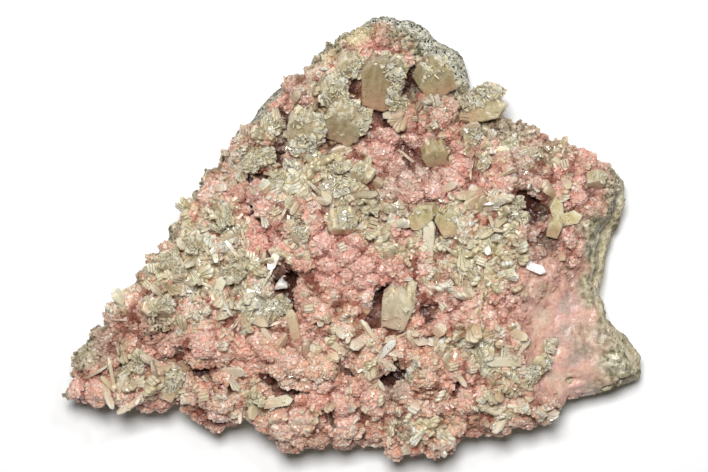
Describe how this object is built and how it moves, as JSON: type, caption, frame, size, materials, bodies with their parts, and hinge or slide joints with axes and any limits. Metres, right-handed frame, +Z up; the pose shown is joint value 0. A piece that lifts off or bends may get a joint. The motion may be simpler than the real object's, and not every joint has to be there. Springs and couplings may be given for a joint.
{
  "type": "stilbite specimen",
  "caption": "Triangular slab of altered volcanic rock lying on its flat back, its face crusted with pink druse and tabular cream stilbite crystals.",
  "frame": {"origin": "on the plane that the slab's flat back rests on, below the middle of the specimen's box", "axes": "+X along the longest side, towards the broken east corner with bare rock; +Y towards the tall apex; +Z up out of the crystal face"},
  "size_m": [0.1382, 0.1064, 0.0306],
  "materials": {
    "volcanic_rock": "rough",
    "pink_druse": "sugary, slightly glassy",
    "stilbite": "pearly"
  },
  "bodies": {
    "root": {"matrix_rock": "volcanic_rock", "pink_crust": "pink_druse", "stilbite_amber": "stilbite", "stilbite_bouquet_1": "stilbite", "stilbite_bouquet_2": "stilbite", "stilbite_bouquet_3": "stilbite", "stilbite_bouquet_4": "stilbite", "stilbite_bouquet_5": "stilbite", "stilbite_bouquet_6": "stilbite", "stilbite_bouquet_7": "stilbite", "stilbite_bouquet_8": "stilbite", "stilbite_broad_blade": "stilbite", "stilbite_centre_pair": "stilbite", "stilbite_corner_block": "stilbite", "stilbite_crown": "stilbite", "stilbite_crown_fan": "stilbite", "stilbite_dark_knob": "stilbite", "stilbite_diagonal_blade": "stilbite", "stilbite_dusky_tablet": "stilbite", "stilbite_east_block": "stilbite", "stilbite_east_tablet": "stilbite", "stilbite_flower": "stilbite", "stilbite_glassy_trio": "stilbite", "stilbite_gold_block": "stilbite", "stilbite_green_lath": "stilbite", "stilbite_heart": "stilbite", "stilbite_hollow_pair": "stilbite", "stilbite_knob": "stilbite", "stilbite_lilac_pair": "stilbite", "stilbite_long_tablet": "stilbite", "stilbite_olive_bead": "stilbite", "stilbite_pale_block": "stilbite", "stilbite_pale_fan": "stilbite", "stilbite_prism_east": "stilbite", "stilbite_ridge_block": "stilbite", "stilbite_rosette": "stilbite", "stilbite_round": "stilbite", "stilbite_short_blade": "stilbite", "stilbite_slim_blade": "stilbite", "stilbite_small_block": "stilbite", "stilbite_south_lath": "stilbite", "stilbite_south_west_blade": "stilbite", "stilbite_square_sheaf": "stilbite", "stilbite_sun": "stilbite", "stilbite_tablet_north": "stilbite", "stilbite_upright_blade": "stilbite", "stilbite_west_barrel": "stilbite", "stilbite_west_blade": "stilbite", "stilbite_west_trio": "stilbite", "stilbite_white_blade": "stilbite", "stilbite_white_lath": "stilbite", "stilbite_white_twin": "stilbite", "stilbite_yellow_block": "stilbite"}
  },
  "joints": []
}
